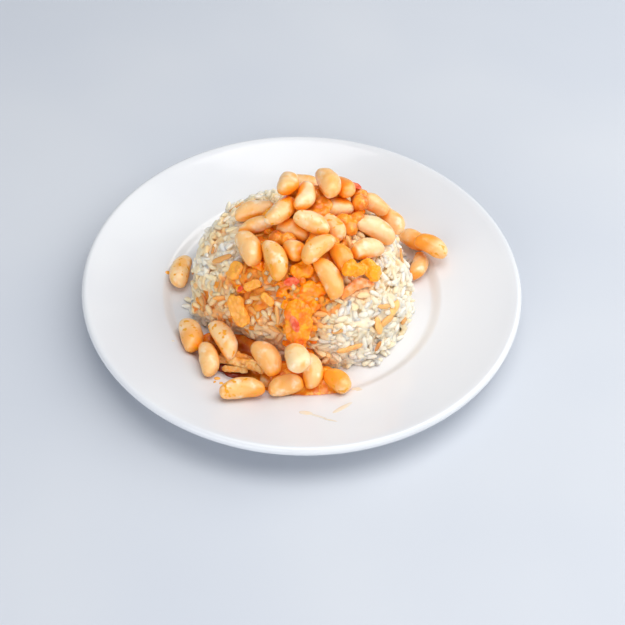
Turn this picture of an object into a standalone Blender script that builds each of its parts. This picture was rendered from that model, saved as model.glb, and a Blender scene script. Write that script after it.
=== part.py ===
"""Rice and beans on a dinner plate.

A moulded dome of rice stands in the well of a plain round plate. White beans in tomato sauce
are heaped on its crown, and some have slid down to its foot. Metres, +Z up. The origin is the
middle of the plate's foot ring, on the table, and -Y is the diner's side.
"""

import math
from collections import namedtuple

import bmesh
import bpy
from mathutils import Matrix, Vector, noise
from mathutils.bvhtree import BVHTree

MM = 0.001
GAP = 0.35 * MM  # air kept between neighbouring solids

# Plate: a flat well, a short step up to the shoulder, and a wide sloping rim
PLATE_RADIUS = 120 * MM
PLATE_HEIGHT = 21 * MM
LIP_RADIUS = 2.5 * MM
WELL_RADIUS = 71 * MM
WELL_FLOOR = 6 * MM
SHOULDER_RADIUS = 78.3 * MM
SHOULDER_HEIGHT = 9.9 * MM
RIM_SAG = 0.5 * MM
WALL = 4.5 * MM
FOOT_OUTER = 67.5 * MM
FOOT_INNER = 64.5 * MM
PLATE_SIDES = 60

# Rice: a dome turned out of a bowl, with an uneven skin
MOUND_MIDDLE = Vector((-0.5 * MM, 0, WELL_FLOOR + GAP))
MOUND_RADIUS = 63 * MM
MOUND_HEIGHT = 47 * MM
MOUND_FULLNESS = 2.2  # 2 is a half ellipsoid, more is squarer
MOUND_SIDES = 48
MOUND_ROWS = 12
LUMP_DEPTH = 1.3 * MM
LUMP_SIZE = 11 * MM
SLUMP_DEPTH = 1.2 * MM
SLUMP_SIZE = 38 * MM
# Where beans press into the foot of the mound: the middle and half width of each hollow in
# degrees about Z, and its depth. It fades out up the mound's side.
HOLLOWS = ((-110, 60, 13 * MM), (14, 24, 5 * MM), (175, 20, 3 * MM))
HOLLOW_HEIGHT = 46 * MM

# Beans: a bent, full-ended oval
BEAN_WIDTH = 11.6
BEAN_THICKNESS = 0.88  # of its width
BEAN_FULLNESS = 2.35
BEAN_BEND = 0.10  # of its length
BEAN_SIDES = 8
BEAN_ROWS = 7

# Each bean: a point in plan on the line that it comes in along, the way it points, its length
# and width, its roll about its length, how far its nose is lifted, how much of the mound's slope
# it follows, and the height of that point, which is the mound's own where none is given.
# Millimetres and degrees, lowest first.
Bean = namedtuple("Bean", "x y heading length width roll lift lean height")
Bean.__new__.__defaults__ = (BEAN_WIDTH, 0, 0, 1, None)

CROWN_BEANS = (
    Bean(-25, 11, 8, 22),
    Bean(-24, 0, 15, 20, 9.5),
    Bean(-26.5, -14, -68, 22, 13),
    Bean(-5, -5, -25, 18),
    Bean(-4, -18, -62, 14),
    Bean(17, 15, 24, 17),
    Bean(32, -10, 30, 20),
    Bean(20, -19, -60, 16),
    Bean(45, 25, -48, 20),
    Bean(36, 6, -8, 23, 13),
    Bean(-2, 43, -10, 18),
    Bean(18, 21, -70, 19),
    Bean(35, 26, 5, 18),
    Bean(-12, -24, -68, 24, 12),
    Bean(14, -30.5, -60, 24),
    Bean(-11, 0, -116, 25),
    Bean(0, 8, -115, 21, 11),
    Bean(14, -1, -48, 19),
    Bean(11, 17, -85, 22, 13),
    Bean(-8, 12, -97, 19),
    Bean(3, -6.5, -23, 20),
    Bean(6, -20, 48, 21),
)

SIDE_BEANS = (
    Bean(-68, 8, 86, 23, 12, lean=0),
    Bean(65, 20, -105, 21, 10, lean=0),
    Bean(62, 37, -42, 18, 12, lean=0),
    Bean(71, 27, -25, 20, 12, lean=0),
)

FOOT_BEANS = (
    Bean(-59, -40, -75, 23, 13, lean=0),
    Bean(-47, -58, -66, 22, 11, lean=0),
    Bean(-28, -80, 15, 23, 12, lean=0),
    Bean(-6, -74, 26, 19, 12, lean=0),
    Bean(21, -69, -50, 17, 12, lean=0),
    Bean(-16, -67, 80, 10, 8, lean=0),
    Bean(-40, -47, -75, 25, 11.5, lean=0.35, height=16),
    Bean(-16, -60, -60, 22, 13, lean=0.4, height=18),
    Bean(7, -65, -88, 19, 11, lean=0.3, height=15),
    Bean(-1, -67.5, -90, 18, 13.5, lift=20, lean=0.15, height=22),
)

BACK_BEANS = (
    Bean(-24, 65, 25, 21, 12, lean=0),
    Bean(18, 50, -25, 22),
    Bean(38, 44, -50, 20),
    Bean(-6, 71, -12, 22, 12, lean=0),
    Bean(16, 70, 15, 21, 12, lean=0),
    Bean(50, 55, -45, 15, 10.5, lean=0),
)

# Tomato and onion: placed like the beans, with length, width and thickness
Morsel = namedtuple("Morsel", "x y heading size lean height")
Morsel.__new__.__defaults__ = (1, None)
TOMATO_CHUNKS = (
    Morsel(0, -28, 20, (12, 10, 6)),
    Morsel(33, -22, -35, (13, 10, 7)),
    Morsel(23, -26, 10, (11, 9, 6)),
)
TOMATO_PULP = Morsel(-1, -50, -85, (27, 16, 8))
ONION_SLICE = Morsel(28, -31, 35, (22, 6, 3))
ONION_SHRED = Morsel(-30, -61, 8, (20, 8, 4), 0.5, 13)

# Surface colours, linear
GLAZE_WHITE = (0.86, 0.87, 0.88)
RICE_WHITE = (0.80, 0.72, 0.60)
BEAN_CREAM = (0.80, 0.50, 0.26)
TOMATO_ORANGE = (0.83, 0.24, 0.03)
ONION_TAN = (0.72, 0.38, 0.18)

REACH = 60 * MM  # how far out a piece starts on its way to its place
REACH_STEP = 2 * MM
REACH_HALVINGS = 5

# How a piece beds down among those beneath it
NUDGE_TURN = 5  # degrees
NUDGE_SLIDE = 1 * MM
BEDDING_SLIDE = 1 * MM
BEDDING_GAIN = 0.1 * MM
BEDDING_ROUNDS = 3


def blend(start, end, share):
    return start + (end - start) * share


def ease(share):
    return share * share * (3 - 2 * share)


def material(name, colour, roughness):
    found = bpy.data.materials.get(name)
    if found:
        return found
    made = bpy.data.materials.new(name)
    made.use_nodes = True
    shader = made.node_tree.nodes["Principled BSDF"]
    shader.inputs["Base Color"].default_value = (*colour, 1)
    shader.inputs["Roughness"].default_value = roughness
    shader.inputs["Metallic"].default_value = 0
    return made


def add_object(name, shape, surface):
    """Turns a bmesh into a named, smooth-shaded object of the scene."""
    mesh = bpy.data.meshes.new(name)
    shape.to_mesh(mesh)
    shape.free()
    mesh.shade_smooth()
    mesh.materials.append(surface)
    piece = bpy.data.objects.new(name, mesh)
    bpy.context.scene.collection.objects.link(piece)
    return piece


def turned(section, sides):
    """Spins a half section of (radius, height) points about Z into a closed bmesh."""
    shape = bmesh.new()
    points = [shape.verts.new((radius, 0, height)) for radius, height in section]
    edges = [shape.edges.new(pair) for pair in zip(points, points[1:])]
    bmesh.ops.spin(
        shape,
        geom=points + edges,
        axis=(0, 0, 1),
        cent=(0, 0, 0),
        angle=math.tau,
        steps=sides,
        use_merge=True,
    )
    bmesh.ops.remove_doubles(shape, verts=shape.verts, dist=0.01 * MM)
    bmesh.ops.recalc_face_normals(shape, faces=shape.faces)
    return shape


def plate_section():
    """From the middle of the well over the rim, round the lip and back underneath."""
    section = [(0, WELL_FLOOR)]
    for step in range(4):
        share = step / 3
        radius = blend(WELL_RADIUS, SHOULDER_RADIUS, share)
        section.append((radius, blend(WELL_FLOOR, SHOULDER_HEIGHT, ease(share))))
    lip_radius = PLATE_RADIUS - LIP_RADIUS
    lip_height = PLATE_HEIGHT - LIP_RADIUS
    for share in (1 / 3, 2 / 3):
        radius = blend(SHOULDER_RADIUS, lip_radius, share)
        height = blend(SHOULDER_HEIGHT, PLATE_HEIGHT, share)
        section.append((radius, height - RIM_SAG * 4 * share * (1 - share)))
    for degrees in (105, 65, 25, -15, -50, -85):
        angle = math.radians(degrees)
        section.append((lip_radius + LIP_RADIUS * math.cos(angle), lip_height + LIP_RADIUS * math.sin(angle)))
    section.append((SHOULDER_RADIUS + 1.5 * MM, SHOULDER_HEIGHT - WALL))
    section.append((FOOT_OUTER + 4 * MM, WELL_FLOOR - WALL))
    section.append((FOOT_OUTER + 0.6 * MM, 0.6 * MM))
    section.append((FOOT_OUTER, 0))
    section.append((FOOT_INNER, 0))
    section.append((FOOT_INNER - 1 * MM, WELL_FLOOR - WALL))
    section.append((0, WELL_FLOOR - WALL))
    return section


def make_plate():
    shape = turned(plate_section(), PLATE_SIDES)
    return add_object("plate", shape, material("glazed_porcelain", GLAZE_WHITE, 0.12))


def mound_point(climb):
    """(radius, height) on the mound's outline, where climb goes from 0 at its foot to 1 at its top."""
    angle = climb * math.pi / 2
    power = 2 / MOUND_FULLNESS
    return MOUND_RADIUS * math.cos(angle) ** power, MOUND_HEIGHT * math.sin(angle) ** power


def mound_surface(x, y):
    """The height of the smooth mound, or of the well's floor, at a place in plan, and its normal."""
    out = Vector((x - MOUND_MIDDLE.x, y - MOUND_MIDDLE.y, 0))
    share = out.length / MOUND_RADIUS
    if share >= 1:
        return WELL_FLOOR, out.normalized()
    rise = (1 - share**MOUND_FULLNESS) ** (1 / MOUND_FULLNESS)
    slope = (share / rise) ** (MOUND_FULLNESS - 1) * MOUND_HEIGHT / MOUND_RADIUS
    normal = (out.normalized() * slope + Vector((0, 0, 1))).normalized()
    return MOUND_MIDDLE.z + MOUND_HEIGHT * rise, normal


def hollow_depth(spot):
    """How far a point of the mound is pressed in towards the middle."""
    azimuth = math.degrees(math.atan2(spot.y, spot.x))
    fade = max(1 - spot.z / HOLLOW_HEIGHT, 0)
    depth = 0
    for middle, half_width, deepest in HOLLOWS:
        away = abs((azimuth - middle + 180) % 360 - 180) / half_width
        depth += deepest * ease(max(1 - away, 0)) * ease(fade)
    return depth


def make_rice():
    section = [(0, 0)] + [mound_point(row / MOUND_ROWS) for row in range(MOUND_ROWS)] + [(0, MOUND_HEIGHT)]
    shape = turned(section, MOUND_SIDES)
    for vert in shape.verts:
        if vert.co.length < GAP:
            continue
        spot = vert.co.copy()
        lumps = noise.noise(spot / LUMP_SIZE) * LUMP_DEPTH
        slump = noise.noise(spot / SLUMP_SIZE + Vector((3, 1, 7))) * SLUMP_DEPTH
        facing = spot.normalized()
        outward = Vector((spot.x, spot.y, 0)).normalized()
        if spot.z < GAP:
            facing = outward
        vert.co = spot + facing * (lumps + slump) - outward * hollow_depth(spot)
        vert.co.z = max(vert.co.z, 0)
    shape.transform(Matrix.Translation(MOUND_MIDDLE))
    return add_object("rice_mound", shape, material("cooked_rice", RICE_WHITE, 0.45))


def oval(length, width, thickness, bend, sides=BEAN_SIDES, rows=BEAN_ROWS):
    """A full-ended oval along X, bent sideways like a bean, in metres."""
    shape = bmesh.new()
    bmesh.ops.create_uvsphere(shape, u_segments=sides, v_segments=rows, radius=1)
    for vert in shape.verts:
        across, up, along = vert.co
        ring = math.hypot(across, up)
        full = (1 - abs(along) ** BEAN_FULLNESS) ** (1 / BEAN_FULLNESS) if abs(along) < 1 else 0
        swell = full / ring if ring > 0.001 else 0
        side = bend * length * (0.35 - along * along)
        vert.co = (along * length / 2, across * swell * width / 2 + side, up * swell * thickness / 2)
    shape.normal_update()
    return shape


def resting_turn(up, heading, roll=0, lift=0):
    """The turn that points a piece along its heading, square to the way up."""
    ahead = Vector((math.cos(math.radians(heading)), math.sin(math.radians(heading)), 0))
    ahead = (ahead - up * ahead.dot(up)).normalized()
    turn = Matrix((ahead, up.cross(ahead), up)).transposed()
    return turn @ Matrix.Rotation(math.radians(-lift), 3, "Y") @ Matrix.Rotation(math.radians(roll), 3, "X")


def nudges(turn):
    """The small turns and slides that a piece tries as it beds down."""
    for axis in "XYZ":
        for angle in (-NUDGE_TURN, NUDGE_TURN):
            yield Vector(), turn @ Matrix.Rotation(math.radians(angle), 3, axis)
    for direction in (turn.col[0], turn.col[1]):
        for slide in (-NUDGE_SLIDE, NUDGE_SLIDE):
            yield direction * slide, turn


class Heap:
    """What already lies on the plate. Each new piece comes in until it meets something."""

    def __init__(self, pieces):
        self.trees = []
        for piece in pieces:
            self.keep(piece)

    def keep(self, piece):
        points = [piece.matrix_world @ vert.co for vert in piece.data.vertices]
        self.trees.append(BVHTree.FromPolygons(points, [face.vertices[:] for face in piece.data.polygons]))

    def touches(self, points, faces):
        tree = BVHTree.FromPolygons(points, faces)
        return any(tree.overlap(other) for other in self.trees)

    def come_in(self, piece, base, up, turn, start):
        """How far out along its line the piece stops, GAP above the first thing that it meets."""
        mesh = piece.data
        faces = [face.vertices[:] for face in mesh.polygons]
        grown = [turn @ (vert.co + vert.normal * GAP) + base for vert in mesh.vertices]

        def blocked(distance):
            return self.touches([point + up * distance for point in grown], faces)

        distance = start
        if blocked(distance):
            return math.inf
        while not blocked(distance - REACH_STEP):
            distance -= REACH_STEP
        step = REACH_STEP
        for _ in range(REACH_HALVINGS):
            step /= 2
            if not blocked(distance - step):
                distance -= step
        return distance

    def lay(self, piece, base, up, turn):
        """Brings the piece in, and lets it turn and slide a little to lie closer."""
        asked = base
        lowest = self.come_in(piece, base, up, turn, REACH)
        for _ in range(BEDDING_ROUNDS):
            tries = []
            for slide, turned_on in nudges(turn):
                spot = base + slide - up * slide.dot(up)
                if (spot - asked).length <= BEDDING_SLIDE:
                    reached = self.come_in(piece, spot, up, turned_on, lowest + REACH_STEP / 2)
                    tries.append((reached, spot, turned_on))
            best = min(tries, key=lambda one: one[0])
            if best[0] > lowest - BEDDING_GAIN:
                break
            lowest, base, turn = best
        piece.matrix_world = Matrix.Translation(base + up * lowest) @ turn.to_4x4()
        self.keep(piece)


def way_in(spot):
    """The point and the direction of the line that a bean or a morsel comes in along."""
    height, normal = mound_surface(spot.x * MM, spot.y * MM)
    if spot.height is not None:
        height = spot.height * MM
    up = Vector((0, 0, 1)).lerp(normal, spot.lean).normalized()
    return Vector((spot.x * MM, spot.y * MM, height)), up


def lay_beans(heap, group, beans):
    skin = material("boiled_bean", BEAN_CREAM, 0.35)
    for number, bean in enumerate(beans, start=1):
        thickness = bean.width * BEAN_THICKNESS
        shape = oval(bean.length * MM, bean.width * MM, thickness * MM, BEAN_BEND)
        piece = add_object(f"bean_{group}_{number:02d}", shape, skin)
        base, up = way_in(bean)
        heap.lay(piece, base, up, resting_turn(up, bean.heading, bean.roll, bean.lift))


def lay_morsel(heap, name, morsel, bend, surface):
    length, width, thickness = (size * MM for size in morsel.size)
    shape = oval(length, width, thickness, bend, sides=8, rows=6)
    piece = add_object(name, shape, surface)
    base, up = way_in(morsel)
    heap.lay(piece, base, up, resting_turn(up, morsel.heading))


def main():
    for leftover in list(bpy.data.objects):
        bpy.data.objects.remove(leftover)
    tomato = material("stewed_tomato", TOMATO_ORANGE, 0.25)
    onion = material("stewed_onion", ONION_TAN, 0.3)
    heap = Heap([make_plate(), make_rice()])
    lay_morsel(heap, "tomato_pulp", TOMATO_PULP, 0.05, tomato)
    lay_morsel(heap, "onion_shred", ONION_SHRED, 0.06, onion)
    lay_morsel(heap, "onion_slice", ONION_SLICE, 0.18, onion)
    lay_beans(heap, "side", SIDE_BEANS)
    lay_beans(heap, "foot", FOOT_BEANS)
    lay_morsel(heap, "tomato_chunk_1", TOMATO_CHUNKS[0], 0.03, tomato)
    lay_beans(heap, "crown", CROWN_BEANS)
    lay_morsel(heap, "tomato_chunk_2", TOMATO_CHUNKS[1], 0.03, tomato)
    lay_morsel(heap, "tomato_chunk_3", TOMATO_CHUNKS[2], 0.03, tomato)
    lay_beans(heap, "back", BACK_BEANS)


main()
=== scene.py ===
"""Rice and beans on a dinner plate: the looks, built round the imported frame.

Metres, +Z up. The plate, the beans, the tomato and the onion are smooth pieces that stand for their
plain nodes. The mound is a soft mass of rice grains that stick together, with free grains on top of it,
browned noodles between them, and tomato sauce over them and between the beans on the crown.
"""

import math
import random
from collections import namedtuple

import bpy
import numpy as np
from mathutils import Matrix, Vector, noise
from mathutils.bvhtree import BVHTree
from mathutils.kdtree import KDTree


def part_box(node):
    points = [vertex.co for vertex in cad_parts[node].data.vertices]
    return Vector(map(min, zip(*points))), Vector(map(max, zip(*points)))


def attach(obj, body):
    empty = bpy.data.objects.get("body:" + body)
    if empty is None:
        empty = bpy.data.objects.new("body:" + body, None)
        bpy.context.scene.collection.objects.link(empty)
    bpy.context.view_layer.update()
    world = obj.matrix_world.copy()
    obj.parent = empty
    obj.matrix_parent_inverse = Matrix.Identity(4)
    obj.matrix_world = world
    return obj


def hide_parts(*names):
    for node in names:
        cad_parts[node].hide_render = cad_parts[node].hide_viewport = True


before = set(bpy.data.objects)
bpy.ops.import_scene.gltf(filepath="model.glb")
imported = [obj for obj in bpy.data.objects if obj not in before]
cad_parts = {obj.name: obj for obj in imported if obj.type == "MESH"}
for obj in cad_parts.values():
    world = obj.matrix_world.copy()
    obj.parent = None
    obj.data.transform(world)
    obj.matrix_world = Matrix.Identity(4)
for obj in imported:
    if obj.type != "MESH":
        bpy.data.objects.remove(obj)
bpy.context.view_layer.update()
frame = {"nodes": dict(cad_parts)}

MM = 0.001
UP = Vector((0, 0, 1))

# Plate, in millimetres
PLATE_SIDES = 144
PLATE_RADIUS = 120
PLATE_HEIGHT = 21
LIP_RADIUS = 2.5
WELL_RADIUS = 71
WELL_FLOOR = 6
SHOULDER_RADIUS = 78.3
SHOULDER_HEIGHT = 9.9
RIM_SAG = 0.5
WALL = 4.5
FOOT_OUTER = 67.5
FOOT_INNER = 64.5
FOOT_BEVEL = 0.6
STEP_RINGS = 8  # how many rings make the step round the well
RIM_RINGS = 10  # and the sloping rim

# Rice, in millimetres
GRAIN_LENGTH = 7.6
GRAIN_WIDTH = 3.2
GRAIN_THICKNESS = 0.84  # of its width
GRAIN_FULLNESS = 2.7  # 2 is an oval, more has blunter ends
GRAIN_TILT = 0.34  # how far grains stand off the surface, in radians
GRAIN_END = 0.42  # how far its ends are from its middle, of its length
PACKED_GRAINS = 2700  # at most: fewer find room at their spacing, and so it is with the free ones
PACKED_SPACING = 2.45
PACKED_SOAKING = 1.15  # how much of the sauce that lies on them they take up
FREE_GRAINS = 1400
FREE_SPACING = 3.3
FREE_SOAKING = 0.8
FREE_RISE = 0.6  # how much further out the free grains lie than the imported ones
SAUCED = 0.3  # how much sauce puts a free grain in the mesh of the sauced ones
HEADINGS_TRIED = 7
PRESSES = (0, 0.8, 1.6, 2.6)  # how far in a grain is pressed to clear a bean, tried in turn
ROLLED_GRAINS = 20  # at most, on the plate
TOP_RISE = 1.0  # where the outer grains lie against the mound's plain skin, on its top
SIDE_RISE = -3.0  # and at its foot
STICKY_VOXEL = 0.62  # how finely the grains that stick together are melted into one mass
PACKED_TRIANGLES = 185000  # and how many triangles that mass keeps
PACKED_SHADE_TONE = 0.7  # painted shade: how light the grains in it are next to the free ones on top; lower makes them darker and warmer, as shade in the gaps between those
CORE_DEPTH = 1.6  # from the outer grains down to the core
CLUMP = 9  # how wide the clumps are that the grains stick together in
CLUMP_HEIGHT = 3.4
FOOT_BAND = 2  # how far above the well the mound's foot keeps its height
FILM_LOW = -4.6  # where the sauce lies against the outer grains, from none to most of it
FILM_HIGH = -0.9

# How uneven each surface is: the size of its lumps and their height in millimetres, coarse ones first
BEAN_RELIEF = ((9, 1.3), (3, 0.2))
CHUNK_RELIEF = ((5.5, 3.6), (2.4, 0.7))
TONGUE_RELIEF = ((7, 4.0), (3, 1.5))
ONION_RELIEF = ((4, 1.6), (1.2, 0.3))
CORE_RELIEF = ((2.8, 2.0),)
PULP_RELIEF = ((3, 1.4),)
CROWN_SAUCE_RELIEF = ((5, 2.4), (2, 0.5))
POOL_RELIEF = ((8, 0.6),)
NOODLE_RELIEF = ((3, 0.6),)
BLOCK_RELIEF = ((4, 2.2), (1.6, 0.5))

# Camera
AIM = Vector((6.2, -26.9, 19.2)) * MM
DISTANCE = 649 * MM
ELEVATION = math.radians(47.2)
ROLL = math.radians(2.0)
LENS = 70

dice = random.Random(41)


def each(kind, *rows):
    """One named tuple of that kind for each row of values."""
    return tuple(kind(*row) for row in rows)


# ---------------------------------------------------------------- small tools


def pick(piece):
    """Makes the piece the only selected and active object."""
    bpy.ops.object.select_all(action="DESELECT")
    piece.select_set(True)
    bpy.context.view_layer.objects.active = piece


def put_in_scene(name, data):
    """A new object of that mesh, light or camera."""
    made = bpy.data.objects.new(name, data)
    bpy.context.scene.collection.objects.link(made)
    return made


def in_edit_mode(piece, *steps):
    """Runs modelling steps in edit mode, each on the whole mesh unless it selects for itself."""
    pick(piece)
    bpy.ops.object.mode_set(mode="EDIT")
    bpy.ops.mesh.select_all(action="SELECT")
    for step in steps:
        step()
    bpy.ops.object.mode_set(mode="OBJECT")


def just_added():
    """The shape that an operator has just added, with its place, turn and size applied to its mesh."""
    piece = bpy.context.object
    pick(piece)
    bpy.ops.object.transform_apply(location=True, rotation=True, scale=True)
    return piece


def modify(piece, kind, **settings):
    """Adds one modifier and applies it."""
    pick(piece)
    modifier = piece.modifiers.new(kind.title(), kind)
    for name, value in settings.items():
        setattr(modifier, name, value)
    bpy.ops.object.modifier_apply(modifier=modifier.name)


def cloud(size, depth=1):
    """A noise texture for Displace, with lumps of about that size in metres."""
    texture = bpy.data.textures.new("cloud", "CLOUDS")
    texture.noise_scale = size
    texture.noise_depth = depth
    return texture


def roughen(piece, relief, depth=1):
    """Pushes the surface in and out along its normals, by up to half the height of each size of lump."""
    for size, height in relief:
        modify(
            piece,
            "DISPLACE",
            texture=cloud(size * MM, depth),
            strength=height * MM,
            mid_level=0.5,
            texture_coords="LOCAL",
        )


def finish(piece, name, surface, slot, *nodes):
    """Names the piece, gives it its finish, and sets it on the body, in place of its CAD nodes."""
    piece.name = name
    piece.data.name = name
    piece.data.materials.clear()
    piece.data.materials.append(surface)
    pick(piece)
    bpy.ops.object.shade_smooth()
    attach(piece, "root")
    if nodes:
        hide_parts(*nodes)
    return piece


def read_points(piece, name):
    """One vector of each point in the piece's mesh, such as co or normal, as rows of an array."""
    found = np.empty(len(piece.data.vertices) * 3, np.float32)
    piece.data.vertices.foreach_get(name, found)
    return found.reshape(-1, 3).astype(float)


def points_of(piece):
    return read_points(piece, "co")


def normals_of(piece):
    return read_points(piece, "normal")


def move_along_normals(piece, distances):
    """Moves each point along its own normal by its own distance."""
    moved = points_of(piece) + normals_of(piece) * distances[:, None]
    piece.data.vertices.foreach_set("co", moved.ravel())
    piece.data.update()


def write_attribute(piece, name, values):
    """Gives each point of the piece its own value, or all of them the same one."""
    layer = piece.data.attributes.new(name, "FLOAT", "POINT")
    spread = np.broadcast_to(values, len(piece.data.vertices))
    layer.data.foreach_set("value", np.ascontiguousarray(spread, np.float32))


def tree_of(pieces):
    """One search tree of the surfaces of several pieces."""
    points, faces = [], []
    for piece in pieces:
        first = len(points)
        points.extend(vert.co.copy() for vert in piece.data.vertices)
        faces.extend([first + corner for corner in face.vertices] for face in piece.data.polygons)
    return BVHTree.FromPolygons(points, faces)


# ---------------------------------------------------------------- where the sauce is

# Each splash: a place in millimetres, how far it reaches, and how strong it is
Splash = namedtuple("Splash", "x y z reach strength")

# Where sauce has soaked into the rice; two rows on the mound's left are partly painted shade
RICE_SPLASHES = each(
    Splash,
    (4, 4, 52, 46, 0.62),
    (24, 18, 50, 20, 0.6),
    (20, -12, 54, 22, 0.6),
    (-18, -6, 54, 20, 0.8),
    (-21, -30, 47, 22, 0.93),
    (0, -40, 47, 22, 0.95),
    (12, -38, 47, 16, 0.8),
    (-2, -54, 33, 19, 0.9),
    (-30, -42, 37, 18, 0.95),
    (-41, -30, 38, 13, 0.7),
    (-27, -50, 28, 16, 0.6),
    (-15, -48, 38, 18, 0.5),
    (-14, -56, 26, 16, 0.55),
    (-44, -38, 26, 16, 0.6),
    (-52, -28, 22, 14, 0.55),
    (14, -50, 38, 12, 0.4),
    (-30, -58, 8, 24, 0.8),
    (2, -64, 8, 26, 0.85),
    (30, -32, 45, 13, 0.5),
    (-36, -48, 16, 18, 0.75),
    (-18, -58, 16, 16, 0.6),
    # these two: partly sauce, partly painted shade, tinting rice tan where it lies in the beans' shade
    (-50, 6, 42, 18, 0.45),
    (-38, 30, 42, 18, 0.45),
    (-57, -18, 24, 18, 0.45),
)

# Where sauce clings to the beans
BEAN_SPLASHES = each(
    Splash,
    (-8, 9, 71, 9, 1.0),
    (20, 25, 62, 14, 0.7),
    (26, 27, 54, 12, 0.9),
    (-14, -33, 56, 7, 0.5),
    (1, -22, 61, 7, 0.7),
    (67, 31, 24, 14, 0.6),
    (61, 33, 9, 9, 0.9),
    (62, 11, 8, 9, 0.7),
    (20, -18, 57, 10, 0.6),
    (20, -68, 14, 10, 0.6),
    (-39, -47, 20, 5, 0.8),
    (-57, -44, 11, 12, 0.5),
    (-20, -81, 13, 9, 0.7),
    (-14, -62, 15, 9, 0.6),
    (0, 10, 66, 12, 0.4),
)

# Where the sauce lies so thick that it hides the rice, and how thick
THICK_SAUCE = each(
    Splash,
    (-2, -4, 56, 30, 0.9),
    (16, 20, 55, 28, 0.9),
    (9, 15, 57, 14, 0.9),
    (30, 16, 52, 16, 0.6),
    (14, -24, 52, 16, 0.7),
    (-16, -22, 52, 14, 0.6),
)
THICKNESS = 3.2

# How far sauce creeps out of the gap where two beans touch, in millimetres
CREVICE = 4.5

# How far up a bean its underside's sauce reaches, of its height
WET_HEIGHT = 0.8


def beans_of(place, *numbers):
    return tuple(f"bean_{place}_{number:02d}" for number in numbers)


# Beans with yellow flecks of oil and pulp on them, those that the sauce has coloured least, and most
FLECKED_BEANS = beans_of("crown", 14, 16, 18, 21, 22) + beans_of("foot", 1, 3, 5, 7)
FLECKED_BEANS += beans_of("side", 1, 4)
PALE_BEANS = beans_of("crown", 6, 7, 10, 17, 21) + beans_of("foot", 10)
GOLDEN_BEANS = beans_of("crown", 14, 15, 22) + beans_of("foot", 3, 4, 5, 8)

# Where sauce is deep and brown, with painted shade in it: the pool's end under the foot beans and the rice
# above it are darkened as if shaded
DEEP_SAUCE_AND_SHADE_SPLASHES = each(
    Splash,
    (-41, -59, 6, 9, 1.0),
    (-35, -61, 6, 10, 1.0),
    (-29, -62, 6, 8, 0.8),
    (-33, -51, 10, 12, 0.85),
    (-44, -44, 9, 8, 0.5),
)


def splashed(points, splashes):
    """How much sauce is at each point, from 0 to 1. Each splash fades out over its outer 60%."""
    clean = np.ones(len(points))
    for splash in splashes:
        place = np.array(splash[:3]) * MM
        away = np.linalg.norm(points - place, axis=1) / (splash.reach * MM)
        near = np.clip((1 - away) / 0.6, 0, 1)
        clean *= 1 - splash.strength * near * near * (3 - 2 * near)
    return 1 - clean


# ---------------------------------------------------------------- materials


def colour(code, alpha=1.0):
    """An sRGB hex code as a linear colour."""
    parts = [int(code[start : start + 2], 16) / 255 for start in (1, 3, 5)]
    linear = [part / 12.92 if part <= 0.04045 else ((part + 0.055) / 1.055) ** 2.4 for part in parts]
    return (*linear, alpha)


def add_node(tree, kind, settings=None, **sockets):
    """Adds a node with its settings, and sets or links its sockets.

    A socket gets a value, or a (node, output) pair to link. It goes by its name with _ for a space, or
    by its number, as _6.
    """
    node = tree.nodes.new("ShaderNode" + kind)
    for name, value in (settings or {}).items():
        setattr(node, name, value)
    for name, value in sockets.items():
        socket = node.inputs[int(name[1:])] if name[1:].isdigit() else node.inputs[name.replace("_", " ")]
        if isinstance(value, tuple) and len(value) == 2 and hasattr(value[0], "outputs"):
            tree.links.new(value[0].outputs[value[1]], socket)
        else:
            socket.default_value = value
    return node


def new_material(name, **shader_values):
    """A material with one Principled BSDF, whose constant values are set on its own sockets."""
    made = bpy.data.materials.new(name)
    made.use_nodes = True
    shader = made.node_tree.nodes["Principled BSDF"]
    for socket, value in shader_values.items():
        shader.inputs[socket.replace("_", " ")].default_value = value
    return made, made.node_tree, shader


def lumps(tree, size, detail=2.0):
    """Noise on the object's own coordinates, with lumps of that size in millimetres."""
    place = add_node(tree, "TexCoord"), "Object"
    return add_node(tree, "TexNoise", None, Vector=place, Scale=1 / (size * MM), Detail=detail), 0


def laid_over(tree, share, ends, under, over):
    """One colour over another, by a share that runs softly from none to all of it between two ends.

    Each colour is an sRGB hex code or a link.
    """
    under, over = (colour(tint) if isinstance(tint, str) else tint for tint in (under, over))
    if ends:
        low, high = ends
        softly = {"interpolation_type": "SMOOTHSTEP"}
        share = add_node(tree, "MapRange", softly, Value=share, From_Min=low, From_Max=high), 0
    return add_node(tree, "Mix", {"data_type": "RGBA"}, _0=share, _6=under, _7=over), 2


def patched(tree, size, ends, under, over, detail=2.0):
    """One colour in patches over another, the patches of that size in millimetres."""
    return laid_over(tree, lumps(tree, size, detail), ends, under, over)


def coated(tree, name, ends, under, over):
    """One colour over another, as much as the piece's own attribute of that name says."""
    share = add_node(tree, "Attribute", {"attribute_name": name}), "Fac"
    return laid_over(tree, share, ends, under, over)


def dress(shader, tint, size=None, strength=0, depth=0, detail=2.0):
    """Gives the shader a colour link, and a relief of lumps, their size and depth in millimetres."""
    tree = shader.id_data
    tree.links.new(tint[0].outputs[tint[1]], shader.inputs["Base Color"])
    if size:
        height = lumps(tree, size, detail)
        bump = add_node(tree, "Bump", None, Height=height, Strength=strength, Distance=depth * MM)
        tree.links.new(bump.outputs["Normal"], shader.inputs["Normal"])


def glazed_porcelain():
    """Fired white porcelain under a clear glaze: milky white, with a sharp, faint gloss."""
    made, tree, shader = new_material(
        "glazed_porcelain", Roughness=0.14, IOR=1.5, Coat_Weight=0.25, Coat_Roughness=0.04
    )
    tint = patched(tree, 60, (0.35, 0.65), "#e0e3e8", "#e4e7eb")
    dress(shader, tint, 25, 0.15, 0.05)
    return made


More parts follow.
